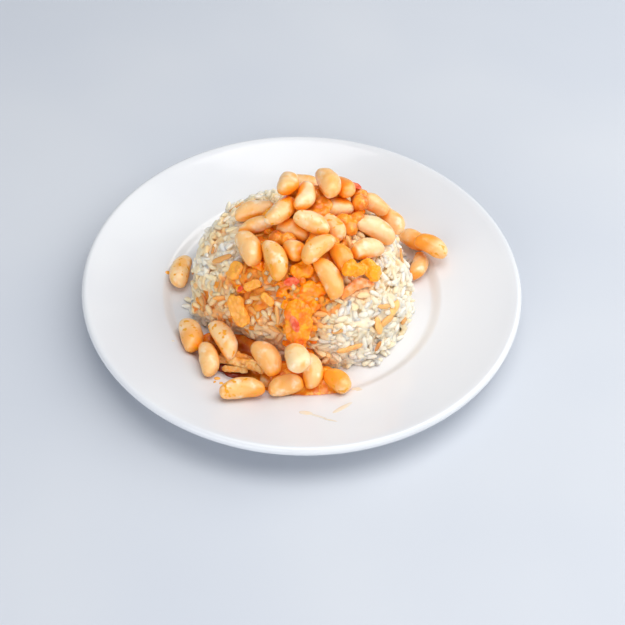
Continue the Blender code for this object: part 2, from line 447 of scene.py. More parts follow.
def cooked_rice():
    """Boiled long rice: moist and slightly see-through, so light goes into it and its gloss is soft."""
    made, tree, shader = new_material(
        "cooked_rice",
        IOR=1.4,
        Roughness=0.46,
        Subsurface_Weight=0.85,
        Subsurface_Scale=0.004,
        Subsurface_Radius=(1.0, 0.9, 0.75),
    )
    # tone runs from cream to white: it differs at random from clump to clump, and in the packed mass under
    # the free grains it is lowered as painted shade in the gaps
    plain = coated(tree, "tone", None, "#ffdfb6", "#fff4e4")
    pink = coated(tree, "sauce", (0.05, 0.5), plain, "#ffd6a6")
    tint = coated(tree, "sauce", (0.5, 1.0), pink, "#f8962e")
    dress(shader, tint, 1.2, 0.2, 0.1)
    return made


def boiled_bean():
    """White bean skin, boiled in sauce: smooth and wet, cream to peach, with orange where sauce clings."""
    made, tree, shader = new_material(
        "boiled_bean",
        IOR=1.42,
        Subsurface_Weight=0.5,
        Subsurface_Scale=0.002,
        Subsurface_Radius=(1.0, 0.6, 0.35),
        Coat_Weight=0.7,
        Coat_Roughness=0.22,
    )
    # tone: cream to golden, drawn for each bean, and paler towards its top, partly as sauce drains off and
    # partly as a painted highlight from the light above
    skin = coated(tree, "tone", None, "#ffdcaa", "#ffb760")
    cloudy = patched(tree, 7, (0.45, 0.75), skin, "#ffb95e")
    pale = patched(tree, 5.5, (0.5, 0.8), cloudy, "#ffe8c8")
    film = coated(tree, "sauce", (0.1, 0.6), pale, "#ffa530")
    thick = coated(tree, "sauce", (0.55, 1.0), film, "#fa8c0c")
    specks = patched(tree, 3.2, (0.6, 0.68), thick, "#f2a60a", 1.0)
    tint = coated(tree, "flecked", None, thick, specks)
    dullness = add_node(tree, "MapRange", None, Value=lumps(tree, 4), To_Min=0.3, To_Max=0.5)
    tree.links.new(dullness.outputs[0], shader.inputs["Roughness"])
    dress(shader, tint, 2.2, 0.22, 0.14, 3.0)
    return made


def tomato_sauce():
    """Thick tomato sauce with oil in it: orange, glossy, golden where it is thin, brown-red where deep, and
    darkened further as painted shade in the pool under the foot beans.
    """
    made, tree, shader = new_material(
        "tomato_sauce",
        IOR=1.42,
        Subsurface_Weight=0.3,
        Subsurface_Scale=0.0015,
        Subsurface_Radius=(1.0, 0.45, 0.15),
        Roughness=0.24,
        Coat_Weight=0.3,
        Coat_Roughness=0.1,
    )
    base = patched(tree, 6, (0.35, 0.65), "#e06a04", "#fb9c1c")
    golden = coated(tree, "thin", None, base, "#ffb44a")
    pulpy = patched(tree, 2.6, (0.53, 0.68), golden, "#ffba48")
    # brown-red where the sauce is deep, darkened further as painted shade in the pool under the foot beans
    tint = coated(tree, "deep", None, pulpy, "#8a2a06")
    dress(shader, tint, 1.5, 0.45, 0.3, 3.0)
    return made


def tomato_pulp():
    """Tomato flesh cooked to a bright orange pulp: wet lumps that light goes into, yellower in patches."""
    made, tree, shader = new_material(
        "tomato_pulp",
        IOR=1.42,
        Subsurface_Weight=0.4,
        Subsurface_Scale=0.002,
        Subsurface_Radius=(1.0, 0.45, 0.12),
        Roughness=0.26,
        Coat_Weight=0.2,
        Coat_Roughness=0.08,
    )
    base = patched(tree, 5, (0.35, 0.65), "#fc7a02", "#ff9a0e")
    pulpy = patched(tree, 3.5, (0.48, 0.68), base, "#ffae1e")
    tint = coated(tree, "yellow", None, pulpy, "#ffb01a")
    dress(shader, tint, 2, 0.3, 0.3, 3.0)
    return made


def tomato_skin():
    """Cooked tomato skin: a thin red film, glossy."""
    made, tree, shader = new_material(
        "tomato_skin", IOR=1.42, Roughness=0.25, Subsurface_Weight=0.3, Subsurface_Scale=0.001
    )
    tint = patched(tree, 3, (0.35, 0.65), "#e04c22", "#f4845a")
    dress(shader, tint, 1.2, 0.3, 0.1)
    return made


def stewed_onion(name, darker, paler, soaked):
    """Onion stewed soft in sauce: limp, see-through layers that have taken its colour."""
    made, tree, shader = new_material(
        name,
        IOR=1.4,
        Roughness=0.3,
        Subsurface_Weight=0.5,
        Subsurface_Scale=0.002,
        Subsurface_Radius=(1.0, 0.6, 0.35),
        Coat_Weight=0.2,
    )
    limp = patched(tree, 3, (0.35, 0.65), darker, paler)
    tint = patched(tree, 6, (0.5, 0.7), limp, soaked)
    dress(shader, tint, 1.5, 0.5, 0.25, 3.0)
    return made


def browned_noodle():
    """Noodle grains fried golden and boiled with the rice: satin, browner on some pieces."""
    made, tree, shader = new_material(
        "browned_noodle", IOR=1.42, Roughness=0.35, Subsurface_Weight=0.35, Subsurface_Scale=0.001
    )
    golden = coated(tree, "tone", None, "#fccb7e", "#b5672a")
    tint = patched(tree, 3, (0.5, 0.75), golden, "#e8a85c")
    dress(shader, tint, 1.0, 0.3, 0.1)
    return made


def thin_smear():
    """A film of sauce wiped thin on the glaze: nearly the plate's own white, a little warmer."""
    made, tree, shader = new_material("thin_smear", IOR=1.42, Roughness=0.2)
    tint = patched(tree, 4, (0.3, 0.7), "#e3dccf", "#e8d9c0")
    dress(shader, tint, 2, 0.2, 0.05)
    return made


# ---------------------------------------------------------------- plate


def plate_rings():
    """(radius, height) of the plate's rings in millimetres, from the well over the rim and back under."""
    rings = []
    for step in range(STEP_RINGS + 1):
        share = step / STEP_RINGS
        eased = share * share * (3 - 2 * share)
        radius = WELL_RADIUS + (SHOULDER_RADIUS - WELL_RADIUS) * share
        rings.append((radius, WELL_FLOOR + (SHOULDER_HEIGHT - WELL_FLOOR) * eased))
    lip_radius = PLATE_RADIUS - LIP_RADIUS
    for step in range(1, RIM_RINGS):
        share = step / RIM_RINGS
        radius = SHOULDER_RADIUS + (lip_radius - SHOULDER_RADIUS) * share
        height = SHOULDER_HEIGHT + (PLATE_HEIGHT - SHOULDER_HEIGHT) * share
        rings.append((radius, height - RIM_SAG * 4 * share * (1 - share)))
    for degrees in range(105, -90, -15):
        angle = math.radians(degrees)
        height = PLATE_HEIGHT - LIP_RADIUS + LIP_RADIUS * math.sin(angle)
        rings.append((lip_radius + LIP_RADIUS * math.cos(angle), height))
    rings.append((SHOULDER_RADIUS + 1.5, SHOULDER_HEIGHT - WALL))
    rings.append((FOOT_OUTER + 4, WELL_FLOOR - WALL))
    rings.append((FOOT_OUTER + FOOT_BEVEL, FOOT_BEVEL))
    rings.append((FOOT_OUTER, 0))
    rings.append((FOOT_INNER, 0))
    rings.append((FOOT_INNER - 1, WELL_FLOOR - WALL))
    return rings


def make_plate(surface):
    """A disc for the middle of the well, extruded ring by ring over the rim and back to the foot."""
    inner = WELL_RADIUS / 2
    bpy.ops.mesh.primitive_circle_add(
        vertices=PLATE_SIDES, radius=inner * MM, fill_type="NGON", location=(0, 0, WELL_FLOOR * MM)
    )
    plate = just_added()
    bpy.ops.object.mode_set(mode="EDIT")
    bpy.ops.mesh.select_all(action="SELECT")
    bpy.ops.mesh.region_to_loop()
    last_radius, last_height = inner, WELL_FLOOR
    for radius, height in plate_rings():
        widen = radius / last_radius
        rise = (0, 0, (height - last_height) * MM)
        bpy.ops.mesh.extrude_edges_move(TRANSFORM_OT_translate={"value": rise})
        bpy.ops.transform.resize(value=(widen, widen, 1), center_override=(0, 0, height * MM))
        last_radius, last_height = radius, height
    bpy.ops.mesh.edge_face_add()
    bpy.ops.mesh.select_all(action="SELECT")
    bpy.ops.mesh.normals_make_consistent(inside=False)
    bpy.ops.object.mode_set(mode="OBJECT")
    finish(plate, "dinner_plate", surface, "glazed_porcelain", "plate")
    pick(plate)
    bpy.ops.object.shade_smooth_by_angle(angle=math.radians(40))
    return plate


# ---------------------------------------------------------------- pieces refined from their nodes


def refined_copy(node, levels, swell):
    """A merged and rounded copy of a CAD node, swelled back to the size that the rounding takes off."""
    source = frame["nodes"][node]
    copy = put_in_scene(node + "_copy", source.data.copy())
    in_edit_mode(
        copy,
        lambda: bpy.ops.mesh.remove_doubles(threshold=0.01 * MM),
        lambda: bpy.ops.mesh.tris_convert_to_quads(
            face_threshold=math.radians(60), shape_threshold=math.radians(60)
        ),
    )
    modify(copy, "SUBSURF", levels=levels, render_levels=levels)
    middle = sum((vert.co for vert in copy.data.vertices), Vector()) / len(copy.data.vertices)
    size = (swell, swell, swell)
    in_edit_mode(copy, lambda: bpy.ops.transform.resize(value=size, center_override=middle))
    return copy


def near_share(points, tree, reach):
    """How near each point is to the surfaces in the tree: 1 where it touches, 0 beyond the reach."""
    found = [tree.find_nearest(Vector(point), reach)[3] for point in points]
    return np.array([0 if away is None else 1 - away / reach for away in found])


def tone_of_bean(node):
    """How golden its skin is, from 0 to 1. One number is drawn for each bean, also where it isn't used."""
    tone = dice.uniform(0.4, 0.8)
    if node in PALE_BEANS:
        tone = 0.2
    if node in GOLDEN_BEANS:
        tone = 0.95
    return tone


def make_beans(surface):
    """A smooth bean for each node, with sauce in the gaps, on its lower part and in splashes, and paler
    towards its top, partly where sauce drains off and partly as a painted highlight.
    """
    beans = []
    nodes = frame["nodes"]
    for node in sorted(name for name in nodes if name.startswith("bean_")):
        bean = refined_copy(node, 3, 1.07)
        roughen(bean, BEAN_RELIEF)
        points = points_of(bean)
        others = tree_of([nodes[other] for other in nodes if other not in (node, "plate")])
        contact = 0.85 * near_share(points, others, CREVICE * MM)
        low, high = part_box(node)
        height = (points[:, 2] - low.z) / (high.z - low.z)
        wet = 0.5 * np.clip(WET_HEIGHT - height, 0, 1) / WET_HEIGHT
        sauce = 1 - (1 - wet) * (1 - contact) * (1 - splashed(points, BEAN_SPLASHES))
        write_attribute(bean, "sauce", sauce)
        # tone falls towards each bean's top: partly sauce draining off, partly a painted highlight of the
        # light from above
        write_attribute(bean, "tone", np.clip(tone_of_bean(node) + 0.5 * (0.65 - height), 0, 1))
        write_attribute(bean, "flecked", 1.0 if node in FLECKED_BEANS else 0.15)
        beans.append(finish(bean, node + "_skin", surface, "boiled_bean", node))
    return beans


def make_tomato(surface):
    """The chunks, each more or less yellow, and the tongue of pulp down the mound's front."""
    made = []
    for node, yellow in (("tomato_chunk_1", 0.25), ("tomato_chunk_2", 0.9), ("tomato_chunk_3", 0.6)):
        chunk = refined_copy(node, 4, 1.12)
        roughen(chunk, CHUNK_RELIEF)
        write_attribute(chunk, "yellow", yellow)
        made.append(finish(chunk, node + "_flesh", surface, "stewed_tomato", node))
    tongue = refined_copy("tomato_pulp", 5, 1.0)
    roughen(tongue, TONGUE_RELIEF)
    made.append(finish(tongue, "tomato_pulp_flesh", surface, "stewed_tomato", "tomato_pulp"))
    return made


def make_onion(slice_surface, shred_surface):
    made = []
    for node, surface in (("onion_slice", slice_surface), ("onion_shred", shred_surface)):
        layer = refined_copy(node, 4, 1.05)
        roughen(layer, ONION_RELIEF)
        made.append(finish(layer, node + "_layer", surface, "stewed_onion", node))
    return made


# ---------------------------------------------------------------- rice

# The shape of a small thing that is copied many times, and one grain: where it is, how it is turned,
# its length and width, and the number of its pattern
Pattern = namedtuple("Pattern", "points faces")
Grain = namedtuple("Grain", "place turn length width pattern")


def pattern_from(piece):
    """The points and triangles of a small shape that is copied many times. The shape itself is removed."""
    modify(piece, "TRIANGULATE")
    faces = np.array([face.vertices[:] for face in piece.data.polygons])
    pattern = Pattern(points_of(piece), faces)
    bpy.data.objects.remove(piece)
    return pattern


def grain_pattern(bend, taper):
    """A grain along X, 1 long and 1 wide, with a few dozen faces, blunt ends, and a bend and a taper."""
    bpy.ops.mesh.primitive_uv_sphere_add(segments=6, ring_count=6, radius=0.5, rotation=(0, math.pi / 2, 0))
    grain = just_added()
    for vert in grain.data.vertices:
        along = 2 * vert.co.x
        ring = math.hypot(vert.co.y, vert.co.z) or 1
        full = 0.5 * math.sqrt(max(1 - abs(along) ** GRAIN_FULLNESS, 0)) * (1 + taper * along)
        vert.co.y = vert.co.y / ring * full + bend * (vert.co.x**2 - 0.12)
        vert.co.z = vert.co.z / ring * full * GRAIN_THICKNESS
    return pattern_from(grain)


def copies_of(patterns, grains):
    """One mesh of all the grains, and how many points each grain has in it."""
    points, faces, counts, first = [], [], [], 0
    for grain in grains:
        pattern = patterns[grain.pattern]
        size = np.array((grain.length, grain.width, grain.width)) * MM
        placed = (pattern.points * size) @ np.array(grain.turn).T + np.array(grain.place)
        points.append(placed)
        faces.append(pattern.faces + first)
        counts.append(len(placed))
        first += len(placed)
    mesh = bpy.data.meshes.new("grains")
    mesh.from_pydata(np.concatenate(points).tolist(), [], np.concatenate(faces).tolist())
    return put_in_scene("grains", mesh), counts


def rise_of(upness):
    """Where the outer grains lie against the mound's skin, in millimetres, from how far it faces up."""
    return SIDE_RISE + (TOP_RISE - SIDE_RISE) * upness


def lying(normal, heading, tilt, roll):
    """The turn of a thing that lies on a surface, its X along the heading, tilted off the surface."""
    towards = Vector((math.cos(heading), math.sin(heading), 0.001))
    side = normal.cross(towards).normalized()
    ahead = side.cross(normal)
    flat = Matrix((ahead, side, normal)).transposed()
    return flat @ Matrix.Rotation(tilt, 3, "Y") @ Matrix.Rotation(roll, 3, "X")


def swell_mound(mound, distances):
    """Moves the mound's skin in or out by distances in millimetres, and leaves its foot on the well."""
    heights = points_of(mound)[:, 2]
    move_along_normals(mound, distances * MM)
    points = points_of(mound)
    foot = heights < (WELL_FLOOR + FOOT_BAND) * MM
    points[foot, 2] = heights[foot]
    mound.data.vertices.foreach_set("co", points.ravel())
    mound.data.update()


def make_core():
    """What the grains are stuck to: the mound's own shape, sunk below them and lumpy."""
    core = refined_copy("rice_mound", 3, 1.0)
    clumps = [noise.noise(Vector(at) / (CLUMP * MM)) * CLUMP_HEIGHT for at in points_of(core)]
    rise = rise_of(np.clip(normals_of(core)[:, 2], 0, 1)) - CORE_DEPTH + np.array(clumps)
    roughen(core, CORE_RELIEF)
    swell_mound(core, rise)
    return core


def mound_triangles():
    """The corners of the mound's faces, without its underside."""
    mesh = frame["nodes"]["rice_mound"].data
    corners = [[mesh.vertices[index].co for index in face.vertices] for face in mesh.polygons]
    return [face for face in corners if sum((corner.z for corner in face)) / 3 > (WELL_FLOOR + 1) * MM]


def spots_on_mound(count, spacing):
    """At most that many places and outward directions on the mound's skin, none nearer than the spacing."""
    faces = mound_triangles()
    areas = [((b - a).cross(c - a)).length / 2 for a, b, c in faces]
    middle = Vector((0, 0, WELL_FLOOR * MM))
    kept, taken = [], {}
    for a, b, c in dice.choices(faces, weights=areas, k=count * 6):
        first, second = dice.random(), dice.random()
        if first + second > 1:
            first, second = 1 - first, 1 - second
        place = a + (b - a) * first + (c - a) * second
        cell = tuple(int(part // spacing) for part in place)
        near = (
            other
            for dx in (-1, 0, 1)
            for dy in (-1, 0, 1)
            for dz in (-1, 0, 1)
            for other in taken.get((cell[0] + dx, cell[1] + dy, cell[2] + dz), ())
        )
        if any((place - other).length < spacing for other in near):
            continue
        normal = (b - a).cross(c - a).normalized()
        if normal.dot(place - middle) < 0:
            normal.negate()
        taken.setdefault(cell, []).append(place)
        kept.append((place, normal))
        if len(kept) == count:
            break
    return kept


def clear_of(tree, place, ahead, reach, room):
    """Whether a grain's middle and ends all keep off the surfaces in the tree."""
    for share in (-0.38, 0, 0.38):
        spot = place + ahead * (reach * share)
        found, normal, _, distance = tree.find_nearest(spot)
        if distance < room or (spot - found).dot(normal) < 0:
            return False
    return True


def best_heading(place, normal, ends, length):
    """The heading, out of a few, that keeps a new grain's ends furthest from those laid before it."""
    best, widest = 0.0, -1.0
    for _ in range(HEADINGS_TRIED):
        heading = dice.uniform(0, math.tau)
        ahead = lying(normal, heading, 0, 0).col[0]
        room = 1.0
        if ends:
            for share in (-GRAIN_END, GRAIN_END):
                room = min(room, ends.find(place + ahead * (length * share * MM))[2])
        if room > widest:
            best, widest = heading, room
    return best


def search_tree(points):
    """A search tree of points, which gives the number of the nearest one."""
    tree = KDTree(len(points))
    for number, point in enumerate(points):
        tree.insert(point, number)
    tree.balance()
    return tree


def lay_layer(spots, above, obstacles, patterns):
    """One layer of grains over the mound, pressed in or left out where a bean is in the way."""
    grains, ends, tree = [], [], None
    for number, (place, normal) in enumerate(spots):
        if number % 60 == 0 and ends:
            tree = search_tree(ends)
        length = GRAIN_LENGTH * dice.uniform(0.75, 1.15)
        width = GRAIN_WIDTH * dice.uniform(0.85, 1.18)
        heading = best_heading(place, normal, tree, length)
        tilt = dice.gauss(0, GRAIN_TILT)
        turn = lying(normal, heading, tilt, dice.uniform(0, math.tau))
        ahead = turn.col[0]
        clump = noise.noise(place / (CLUMP * MM)) * CLUMP_HEIGHT
        out = rise_of(max(normal.z, 0)) + above + clump + dice.uniform(-0.9, 0.7)
        for press in PRESSES:
            spot = place + normal * ((out - press) * MM)
            if clear_of(obstacles, spot, ahead, length * MM, width * 0.45 * MM):
                grains.append(Grain(spot, turn, length, width, dice.randrange(len(patterns))))
                ends.extend(spot + ahead * (length * share * MM) for share in (-GRAIN_END, 0, GRAIN_END))
                break
    return grains


def rolled_grains(count, obstacles, patterns):
    """Grains that have rolled off and lie on the plate round the mound's foot."""
    grains = []
    for _ in range(count):
        azimuth = dice.uniform(0, math.tau)
        radius = dice.uniform(61.5, 65.5) * MM
        spot = Vector((radius * math.cos(azimuth), radius * math.sin(azimuth), (WELL_FLOOR + 1.2) * MM))
        turn = lying(UP, dice.uniform(0, math.tau), dice.gauss(0, 0.06), 0)
        if clear_of(obstacles, spot, turn.col[0], GRAIN_LENGTH * MM, 1.2 * MM):
            length = GRAIN_LENGTH * dice.uniform(0.7, 1.1)
            grains.append(Grain(spot, turn, length, GRAIN_WIDTH, dice.randrange(len(patterns))))
    return grains


def sauce_on(grains, soaking):
    """How much sauce each grain has taken, a little more or less than its neighbours."""
    sauce = splashed(np.array([grain.place for grain in grains]), RICE_SPLASHES)
    return np.clip(sauce * soaking * np.array([dice.uniform(0.6, 1.4) for _ in grains]), 0, 1)


def tones_of(grains):
    """How white each grain is, alike within a clump."""
    tones = [0.5 + noise.noise(grain.place / (7 * MM)) + dice.uniform(-0.3, 0.3) for grain in grains]
    return np.clip(tones, 0, 1)


def make_packed_rice(surface, grains, patterns):
    """The grains that stick together and to the core, in one soft mass that keeps their shapes."""
    mass, _ = copies_of(patterns, grains)
    core = make_core()
    pick(mass)
    core.select_set(True)
    bpy.ops.object.join()
    modify(mass, "REMESH", mode="VOXEL", voxel_size=STICKY_VOXEL * MM)
    modify(mass, "SMOOTH", factor=0.5, iterations=1)
    modify(mass, "DECIMATE", ratio=PACKED_TRIANGLES / (2 * len(mass.data.polygons)))
    tree = search_tree([grain.place for grain in grains])
    nearest = [tree.find(point)[1] for point in points_of(mass)]
    write_attribute(mass, "sauce", sauce_on(grains, PACKED_SOAKING)[nearest])
    # painted shade: the packed mass gets a lower tone than the free grains, so the gaps between those read
    # as shaded
    write_attribute(mass, "tone", PACKED_SHADE_TONE * tones_of(grains)[nearest])
    finish(mass, "rice_packed", surface, "cooked_rice", "rice_mound")


def make_free_grains(surface, grains, patterns):
    """The grains on top of that mass, in one mesh of those with sauce on them and one of the others."""
    sauce = sauce_on(grains, FREE_SOAKING)
    tones = tones_of(grains)
    for name, chosen in (("rice_grains_plain", sauce < SAUCED), ("rice_grains_sauced", sauce >= SAUCED)):
        group = [grain for grain, take in zip(grains, chosen) if take]
        piece, counts = copies_of(patterns, group)
        write_attribute(piece, "sauce", np.repeat(sauce[chosen], counts))
        write_attribute(piece, "tone", np.repeat(tones[chosen], counts))
        finish(piece, name, surface, "cooked_rice")


def make_rice(surface, obstacles):
    bends_and_tapers = ((0.0, 0.1), (0.35, 0.15), (0.6, -0.2), (-0.3, 0.3))
    patterns = [grain_pattern(bend, taper) for bend, taper in bends_and_tapers]
    spots = spots_on_mound(PACKED_GRAINS, PACKED_SPACING * MM)
    make_packed_rice(surface, lay_layer(spots, 0, obstacles, patterns), patterns)
    spots = spots_on_mound(FREE_GRAINS, FREE_SPACING * MM)
    grains = lay_layer(spots, FREE_RISE, obstacles, patterns)
    grains += rolled_grains(ROLLED_GRAINS, obstacles, patterns)
    make_free_grains(surface, grains, patterns)


# ---------------------------------------------------------------- sauce

# A flattened ball of sauce: its middle, and half its width and height, in millimetres
Blob = namedtuple("Blob", "x y z wide high")


def mass_of(blobs, voxel, smoothing):
    """Flattened balls in one mesh, melted together at that fineness in millimetres."""
    mass = put_in_scene("mass", bpy.data.meshes.new("mass"))
    pick(mass)
    bpy.ops.object.mode_set(mode="EDIT")
    for blob in blobs:
        bpy.ops.mesh.primitive_ico_sphere_add(
            subdivisions=2,
            radius=1,
            location=(blob.x * MM, blob.y * MM, blob.z * MM),
            scale=(blob.wide * MM, blob.wide * MM, blob.high * MM),
        )
    bpy.ops.object.mode_set(mode="OBJECT")
    modify(mass, "REMESH", mode="VOXEL", voxel_size=voxel * MM)
    modify(mass, "SMOOTH", factor=0.5, iterations=smoothing)
    return mass


# The pool at the mound's foot, from left to right: places in plan and how wide a blob each has
POOL_TAIL = ((-47, -47, 5), (-41, -54, 6), (-34, -58, 6), (-26, -60, 7), (-17, -63, 8))
POOL_BANK = ((-48, -40, 5), (-42, -45, 6), (-36, -49, 6), (-29, -53, 6), (-21, -56, 6), (-12, -58, 6))
POOL_FRONT = ((-12, -65, 8.5), (-4, -66, 10), (6, -67, 10), (14, -68, 8.5), (20, -69, 7))
# And where its sauce rises between the mound and the beans that lean on it: places and heights
POOL_RISE = (
    (-34, -38, 9),
    (-31, -42, 10),
    (-28, -44, 10),
    (-26, -45, 10),
    (-23, -46, 10),
    (-37, -35, 10),
    (-29, -47, 8),
    (-26, -49, 8),
)


def pool_blobs():
    """The pool between the beans at the foot of the mound: thin on the left, thick at the front."""
    blobs = [Blob(x, y, WELL_FLOOR + 0.6, wide, 2.2) for x, y, wide in POOL_TAIL]
    blobs += [Blob(x, y, WELL_FLOOR + 2, wide, 5) for x, y, wide in POOL_BANK]
    blobs += [Blob(x, y, z, 5, 4) for x, y, z in POOL_RISE]
    blobs += [Blob(x, y, WELL_FLOOR + 0.8, wide, 3.2) for x, y, wide in POOL_FRONT]
    blobs += [Blob(x * 0.93, y * 0.93, WELL_FLOOR + 2, wide, 4.8) for x, y, wide in POOL_FRONT]
    return blobs


# Sauce that fills the hollows between the beans on the crown
CROWN_SAUCE = each(
    Blob,
    (4, 14, 60, 7, 5),
    (-3, 12, 61, 7, 5),
    (9, 12, 61, 6, 5),
    (9.5, 19, 59.5, 5, 4.5),
    (0, 20, 60, 6, 4.5),
    (-9, 10, 61, 6, 5),
    (-6, 17, 64, 5, 5),
    (6, 20, 62.5, 5, 4),
    (15, 25, 57.5, 5, 4.5),
    (-14, 6, 59, 5, 4),
    (8, 6, 61, 6, 4.5),
    (2, 2, 61, 5, 4),
    (30, 19.5, 57, 5, 5),
    (29, 27, 55.5, 5, 4.5),
    (28, 9, 55, 4.5, 4),
    (24, 2, 55, 5, 4),
    (21, 6, 56, 4.5, 4),
    (8, -12, 60, 5, 4),
    (6, -16, 59, 5, 4),
    (14, -12, 57, 5, 4),
    (-8, -12, 58, 4.5, 4),
    (-14, -10, 57, 5, 4),
    (-18, 6, 57, 5, 4),
)

# Pulp that fills the gap behind the tongue of pulp down the mound's front
PULP_BED = each(
    Blob,
    (0, -43, 41, 6, 4),
    (1, -46, 37, 6, 5),
    (-2, -49, 33, 5.5, 5),
    (-1, -52, 29, 4.5, 4.5),
    (0, -54.5, 25, 4, 4),
)

# Where crumbled pulp lies on the rice: a place, how far it spreads, how many crumbs, and their size
Crumbs = namedtuple("Crumbs", "x y z reach count size")

PULP = each(
    Crumbs,
    (0, -39, 48, 7, 26, 2.0),
    (9, -37, 49, 7, 26, 2.0),
    (12, -42, 45, 4, 10, 1.6),
    (-8, -37, 49, 5, 14, 1.8),
    (-7, -45, 43, 3, 12, 1.8),
    (-7, -54, 34, 2, 8, 1.6),
    (7, -53, 35, 3, 10, 1.7),
    (6, -60, 26, 3, 8, 1.6),
    (-5, -50, 38, 3, 8, 1.8),
    (5, -46, 42, 4, 12, 2.0),
    (-3, -45, 43, 5, 16, 2.0),
    (1, -50, 38, 6, 22, 2.0),
    (0, -56, 31, 5, 18, 2.0),
    (-1, -30, 52, 5, 14, 2.0),
    (3, -42, 47, 9, 30, 1.8),
    (-10, -40, 47, 4, 10, 1.6),
    (14, -33, 50, 4, 12, 1.8),
    (31, 22, 55, 5, 14, 2.4),
    (9, 15, 58, 6, 22, 2.6),
    (2, 22, 57, 5, 14, 2.4),
    (19, 5, 56, 5, 16, 3.0),
    (24, 27, 50, 7, 22, 2.2),
    (24, 13, 53, 6, 20, 2.0),
    (10, 24, 55, 6, 16, 2.0),
    (-18, -2, 55, 4, 10, 1.8),
    (-21, -10, 54, 4, 10, 1.8),
    (-7, -11, 56, 4, 10, 1.6),
    (0, -24, 54, 4, 10, 1.8),
    (22, -20, 52, 4, 10, 1.8),
    (10, -27, 53, 4, 10, 1.6),
    (-32, -34, 43, 4, 12, 1.6),
    (-23, -24, 51, 4, 10, 1.8),
    (4, 4, 57, 6, 14, 2.0),
    (-4, 20, 56, 5, 12, 1.8),
    (36, 18, 49, 5, 12, 2.0),
    (28, 20, 56, 2, 5, 3.6),
    (-6, -59, 21, 5, 16, 2.0),
    (4, -61, 18, 5, 14, 2.0),
)


def crumbled(places, lift):
    """Blobs strewn over the mound round each place, the bigger ones towards its middle."""
    mound = tree_of([frame["nodes"]["rice_mound"]])
    blobs = []
    for place in places:
        for _ in range(place.count):
            away = abs(dice.gauss(0, 0.5)) * place.reach
            around = dice.uniform(0, math.tau)
            x = place.x + away * math.cos(around)
            y = place.y + away * math.sin(around)
            found, normal, _, _ = mound.find_nearest(Vector((x, y, place.z)) * MM)
            size = place.size * dice.uniform(0.8, 1.5) * (1 - 0.3 * away / place.reach)
            spot = found / MM + normal * (rise_of(max(normal.z, 0)) + lift + dice.uniform(-0.6, 0.5))
            blobs.append(Blob(spot.x, spot.y, spot.z, size, size * 0.65))
    return blobs


def make_film(surface):
    """Sauce soaked into the rice: a skin over the mound that stands highest where most sauce fell."""
    film = refined_copy("rice_mound", 3, 1.0)
    points = points_of(film)
    sauce = splashed(points, RICE_SPLASHES)
    height = rise_of(np.clip(normals_of(film)[:, 2], 0, 1)) + FILM_LOW + (FILM_HIGH - FILM_LOW) * sauce
    height += THICKNESS * splashed(points, THICK_SAUCE)
    coarse = [1.3 * noise.noise(Vector(at) / (7 * MM)) for at in points]
    fine = [0.7 * noise.noise(Vector(at) / (2.5 * MM)) for at in points]
    swell_mound(film, height + (np.array(coarse) + np.array(fine)))
    write_attribute(film, "thin", np.clip(1.25 - sauce * 1.1, 0, 1))
    # painted shade: the film is darkened brown-red where it runs down into the shade over the pool, as well
    # as where sauce is deep
    write_attribute(film, "deep", 0.9 * splashed(points, DEEP_SAUCE_AND_SHADE_SPLASHES))
    return finish(film, "sauce_over_rice", surface, "stewed_tomato")


def make_pulp(surface):
    """Crumbled pulp on the rice, and behind the tongue of pulp."""
    pulp = mass_of(crumbled(PULP, lift=1.4) + list(PULP_BED), voxel=0.5, smoothing=5)
    roughen(pulp, PULP_RELIEF)
    finish(pulp, "pulp_on_rice", surface, "stewed_tomato")


def make_crown_sauce(surface):
    filling = mass_of(CROWN_SAUCE, voxel=0.7, smoothing=4)
    roughen(filling, CROWN_SAUCE_RELIEF)
    write_attribute(filling, "thin", 0.25)
    write_attribute(filling, "deep", 0.0)
    finish(filling, "sauce_on_crown", surface, "stewed_tomato")


def make_pool(surface):
    pool = mass_of(pool_blobs(), voxel=0.6, smoothing=10)
    roughen(pool, POOL_RELIEF)
    write_attribute(pool, "thin", 0.1)
    # painted shade: the pool's left end, under the foot beans, is darkened brown-red as well as being deep
    # sauce
    write_attribute(pool, "deep", splashed(points_of(pool), DEEP_SAUCE_AND_SHADE_SPLASHES))
    finish(pool, "sauce_pool", surface, "stewed_tomato")


# ---------------------------------------------------------------- noodles and small things

# A noodle: its middle, heading in degrees, length, bend in radians, width, and how brown it is
Bit = namedtuple("Bit", "x y z heading length bend width tone")
NOODLE_FULLNESS = 3.2
NOODLE_LIFT = 2.3  # how far a noodle's middle is from where the outer grains lie

